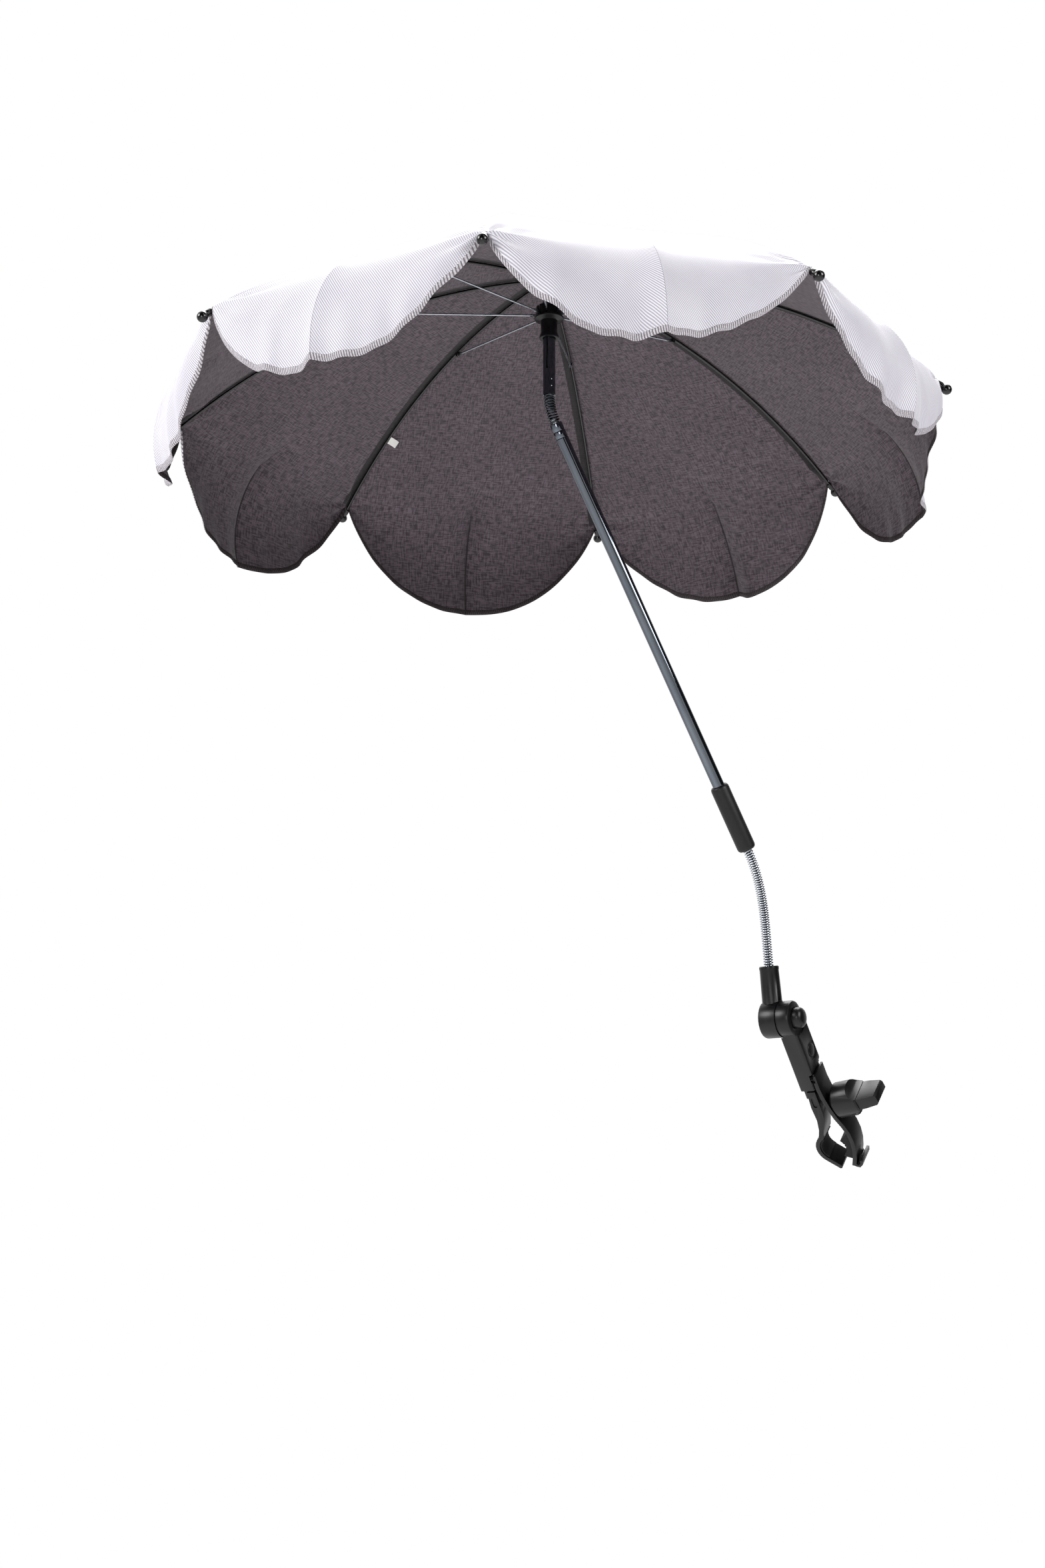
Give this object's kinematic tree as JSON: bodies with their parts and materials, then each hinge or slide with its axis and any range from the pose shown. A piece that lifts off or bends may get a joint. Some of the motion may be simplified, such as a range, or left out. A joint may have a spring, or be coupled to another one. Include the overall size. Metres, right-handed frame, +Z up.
{
  "type": "stroller parasol",
  "caption": "Scalloped sunshade on a bent-over pole, with a flexible neck, a push-button knuckle and a screw clamp for a pram tube.",
  "frame": {"origin": "on the axis of the clamped tube, at the middle of the jaws", "axes": "+Z up with the canopy level, +X along the clamp's screw towards its knob, and the arm leans towards -Y"},
  "size_m": [0.7647, 0.7903, 0.8566],
  "materials": {
    "black_plastic": "satin moulded black",
    "gloss_black": "glossy black",
    "rubber": "ribbed black rubber",
    "chrome": "polished",
    "spring_steel": "bright spring wire",
    "rib_steel": "dark, with worn bright edges",
    "bare_steel": "zinc plated",
    "canopy_fabric": "silver-lilac twill outside, dark grey lining inside"
  },
  "bodies": {
    "clamp": {"clamp_body": "black_plastic", "fixed_jaw_pad": "rubber", "jaw_pin": "bare_steel", "clamp_screw": "bare_steel"},
    "moving_jaw": {"moving_jaw": "black_plastic", "moving_jaw_pad": "rubber"},
    "washer": {"thrust_washer": "bare_steel"},
    "knob": {"knob": "black_plastic"},
    "arm": {"arm": "black_plastic", "knuckle_bolt": "bare_steel", "button_spring": "spring_steel"},
    "release_button": {"release_button": "black_plastic"},
    "push_button": {"push_button": "black_plastic"},
    "swivel": {"socket": "black_plastic"},
    "pole": {"gooseneck_winding": "chrome", "gooseneck_core": "bare_steel", "grip_sleeve": "black_plastic", "lower_shaft": "chrome", "tilt_plug_lower": "bare_steel", "tilt_spring": "spring_steel"},
    "canopy_pole": {"tilt_plug_upper": "bare_steel", "upper_shaft": "chrome", "top_notch": "black_plastic", "notch_wire": "bare_steel", "ferrule_cap": "gloss_black", "canopy_gore_1": "canopy_fabric", "canopy_gore_2": "canopy_fabric", "canopy_gore_3": "canopy_fabric", "canopy_gore_4": "canopy_fabric", "canopy_gore_5": "canopy_fabric", "canopy_gore_6": "canopy_fabric", "canopy_gore_7": "canopy_fabric", "canopy_gore_8": "canopy_fabric"},
    "runner": {"runner": "black_plastic", "runner_wire": "bare_steel"},
    "catch": {"catch_spring": "spring_steel"},
    "rib_1": {"rib_1": "rib_steel", "rib_tip_1": "gloss_black"},
    "stretcher_1": {"stretcher_1": "bare_steel"},
    "rib_2": {"rib_2": "rib_steel", "rib_tip_2": "gloss_black"},
    "stretcher_2": {"stretcher_2": "bare_steel"},
    "rib_3": {"rib_3": "rib_steel", "rib_tip_3": "gloss_black"},
    "stretcher_3": {"stretcher_3": "bare_steel"},
    "rib_4": {"rib_4": "rib_steel", "rib_tip_4": "gloss_black"},
    "stretcher_4": {"stretcher_4": "bare_steel"},
    "rib_5": {"rib_5": "rib_steel", "rib_tip_5": "gloss_black"},
    "stretcher_5": {"stretcher_5": "bare_steel"},
    "rib_6": {"rib_6": "rib_steel", "rib_tip_6": "gloss_black"},
    "stretcher_6": {"stretcher_6": "bare_steel"},
    "rib_7": {"rib_7": "rib_steel", "rib_tip_7": "gloss_black"},
    "stretcher_7": {"stretcher_7": "bare_steel"},
    "rib_8": {"rib_8": "rib_steel", "rib_tip_8": "gloss_black"},
    "stretcher_8": {"stretcher_8": "bare_steel"}
  },
  "joints": [
    {"name": "jaw_hinge", "type": "hinge", "parent": "clamp", "child": "moving_jaw", "pos_m": [0.0015, -0.05653, 0.06213], "axis": [0, -0.7396, -0.673], "range_deg": [0, 9.55]},
    {"name": "washer_slide", "type": "slide", "parent": "clamp", "child": "washer", "axis": [0.9877, -0.1053, 0.1157], "range_m": [0, 0.00801]},
    {"name": "knob_turn", "type": "hinge", "parent": "washer", "child": "knob", "pos_m": [0.0164, -0.03412, 0.0375], "axis": [0.9877, -0.1053, 0.1157], "range_deg": [0, 1440]},
    {"name": "arm_slide", "type": "slide", "parent": "clamp", "child": "arm", "axis": [0, -0.673, 0.7396], "range_m": [0, 0.055]},
    {"name": "release_press", "type": "slide", "parent": "arm", "child": "release_button", "axis": [-1, 0, 0], "range_m": [0, 0.002], "stiffness_N_per_m": 300, "springref_m": -0.002},
    {"name": "push_button_press", "type": "slide", "parent": "arm", "child": "push_button", "axis": [-1, 0, 0], "range_m": [0, 0.004], "stiffness_N_per_m": 600, "springref_m": -0.004, "deforming": ["button_spring"]},
    {"name": "knuckle_swivel", "type": "hinge", "parent": "arm", "child": "swivel", "pos_m": [0, -0.10297, 0.11316], "axis": [1, 0, 0], "range_deg": [-80, 45]},
    {"name": "gooseneck_bend", "type": "hinge", "parent": "swivel", "child": "pole", "pos_m": [-0.01741, -0.12421, 0.223], "axis": [0.8858, -0.4575, -0.0782], "range_deg": [-25, 35], "deforming": ["gooseneck_winding", "gooseneck_core"]},
    {"name": "canopy_tilt", "type": "hinge", "parent": "pole", "child": "canopy_pole", "pos_m": [-0.1076, -0.38026, 0.67611], "axis": [-0.9389, 0.3442, 0], "range_deg": [-35, 38], "deforming": ["tilt_spring"]},
    {"name": "runner_slide", "type": "slide", "parent": "canopy_pole", "child": "runner", "axis": [0, 0, -1], "range_m": [0, 0.05], "deforming": ["canopy_gore_1", "canopy_gore_2", "canopy_gore_3", "canopy_gore_4", "canopy_gore_5", "canopy_gore_6", "canopy_gore_7", "canopy_gore_8", "catch_spring"]},
    {"name": "catch_press", "type": "hinge", "parent": "canopy_pole", "child": "catch", "pos_m": [-0.10747, -0.38647, 0.71754], "axis": [-0.9848, -0.1736, 0], "range_deg": [0, 4.5], "stiffness_Nm_per_rad": 0.1, "springref_deg": -2.86},
    {"name": "rib_1_fold", "type": "hinge", "parent": "canopy_pole", "child": "rib_1", "pos_m": [-0.10462, -0.39081, 0.80926], "axis": [0.9239, 0.3827, 0], "range_deg": [0, 8.56]},
    {"name": "stretcher_1_fold", "type": "hinge", "parent": "runner", "child": "stretcher_1", "pos_m": [-0.10419, -0.39183, 0.77304], "axis": [-0.9239, -0.3827, 0], "range_deg": [0, 11.44]},
    {"name": "rib_2_fold", "type": "hinge", "parent": "canopy_pole", "child": "rib_2", "pos_m": [-0.09947, -0.38567, 0.80926], "axis": [0.3827, 0.9239, 0], "range_deg": [0, 8.56]},
    {"name": "stretcher_2_fold", "type": "hinge", "parent": "runner", "child": "stretcher_2", "pos_m": [-0.09846, -0.38609, 0.77304], "axis": [-0.3827, -0.9239, 0], "range_deg": [0, 11.44]},
    {"name": "rib_3_fold", "type": "hinge", "parent": "canopy_pole", "child": "rib_3", "pos_m": [-0.09947, -0.3784, 0.80926], "axis": [-0.3827, 0.9239, 0], "range_deg": [0, 8.56]},
    {"name": "stretcher_3_fold", "type": "hinge", "parent": "runner", "child": "stretcher_3", "pos_m": [-0.09846, -0.37798, 0.77304], "axis": [0.3827, -0.9239, 0], "range_deg": [0, 11.44]},
    {"name": "rib_4_fold", "type": "hinge", "parent": "canopy_pole", "child": "rib_4", "pos_m": [-0.10462, -0.37326, 0.80926], "axis": [-0.9239, 0.3827, 0], "range_deg": [0, 8.56]},
    {"name": "stretcher_4_fold", "type": "hinge", "parent": "runner", "child": "stretcher_4", "pos_m": [-0.10419, -0.37224, 0.77304], "axis": [0.9239, -0.3827, 0], "range_deg": [0, 11.44]},
    {"name": "rib_5_fold", "type": "hinge", "parent": "canopy_pole", "child": "rib_5", "pos_m": [-0.11189, -0.37326, 0.80926], "axis": [-0.9239, -0.3827, 0], "range_deg": [0, 8.56]},
    {"name": "stretcher_5_fold", "type": "hinge", "parent": "runner", "child": "stretcher_5", "pos_m": [-0.11231, -0.37224, 0.77304], "axis": [0.9239, 0.3827, 0], "range_deg": [0, 11.44]},
    {"name": "rib_6_fold", "type": "hinge", "parent": "canopy_pole", "child": "rib_6", "pos_m": [-0.11703, -0.3784, 0.80926], "axis": [-0.3827, -0.9239, 0], "range_deg": [0, 8.56]},
    {"name": "stretcher_6_fold", "type": "hinge", "parent": "runner", "child": "stretcher_6", "pos_m": [-0.11804, -0.37798, 0.77304], "axis": [0.3827, 0.9239, 0], "range_deg": [0, 11.44]},
    {"name": "rib_7_fold", "type": "hinge", "parent": "canopy_pole", "child": "rib_7", "pos_m": [-0.11703, -0.38567, 0.80926], "axis": [0.3827, -0.9239, 0], "range_deg": [0, 8.56]},
    {"name": "stretcher_7_fold", "type": "hinge", "parent": "runner", "child": "stretcher_7", "pos_m": [-0.11804, -0.38609, 0.77304], "axis": [-0.3827, 0.9239, 0], "range_deg": [0, 11.44]},
    {"name": "rib_8_fold", "type": "hinge", "parent": "canopy_pole", "child": "rib_8", "pos_m": [-0.11189, -0.39081, 0.80926], "axis": [0.9239, -0.3827, 0], "range_deg": [0, 8.56]},
    {"name": "stretcher_8_fold", "type": "hinge", "parent": "runner", "child": "stretcher_8", "pos_m": [-0.11231, -0.39183, 0.77304], "axis": [-0.9239, 0.3827, 0], "range_deg": [0, 11.44]}
  ],
  "couplings": [
    {"joint": "washer_slide", "follows": "knob_turn", "m_per_rad": 0.00031831},
    {"joint": "jaw_hinge", "follows": "knob_turn", "ratio": 0.0066315},
    {"joint": "rib_1_fold", "follows": "runner_slide", "rad_per_m": 2.9825},
    {"joint": "stretcher_1_fold", "follows": "runner_slide", "rad_per_m": 3.9875},
    {"joint": "rib_2_fold", "follows": "runner_slide", "rad_per_m": 2.9825},
    {"joint": "stretcher_2_fold", "follows": "runner_slide", "rad_per_m": 3.9875},
    {"joint": "rib_3_fold", "follows": "runner_slide", "rad_per_m": 2.9825},
    {"joint": "stretcher_3_fold", "follows": "runner_slide", "rad_per_m": 3.9875},
    {"joint": "rib_4_fold", "follows": "runner_slide", "rad_per_m": 2.9825},
    {"joint": "stretcher_4_fold", "follows": "runner_slide", "rad_per_m": 3.9875},
    {"joint": "rib_5_fold", "follows": "runner_slide", "rad_per_m": 2.9825},
    {"joint": "stretcher_5_fold", "follows": "runner_slide", "rad_per_m": 3.9875},
    {"joint": "rib_6_fold", "follows": "runner_slide", "rad_per_m": 2.9825},
    {"joint": "stretcher_6_fold", "follows": "runner_slide", "rad_per_m": 3.9875},
    {"joint": "rib_7_fold", "follows": "runner_slide", "rad_per_m": 2.9825},
    {"joint": "stretcher_7_fold", "follows": "runner_slide", "rad_per_m": 3.9875},
    {"joint": "rib_8_fold", "follows": "runner_slide", "rad_per_m": 2.9825},
    {"joint": "stretcher_8_fold", "follows": "runner_slide", "rad_per_m": 3.9875}
  ]
}
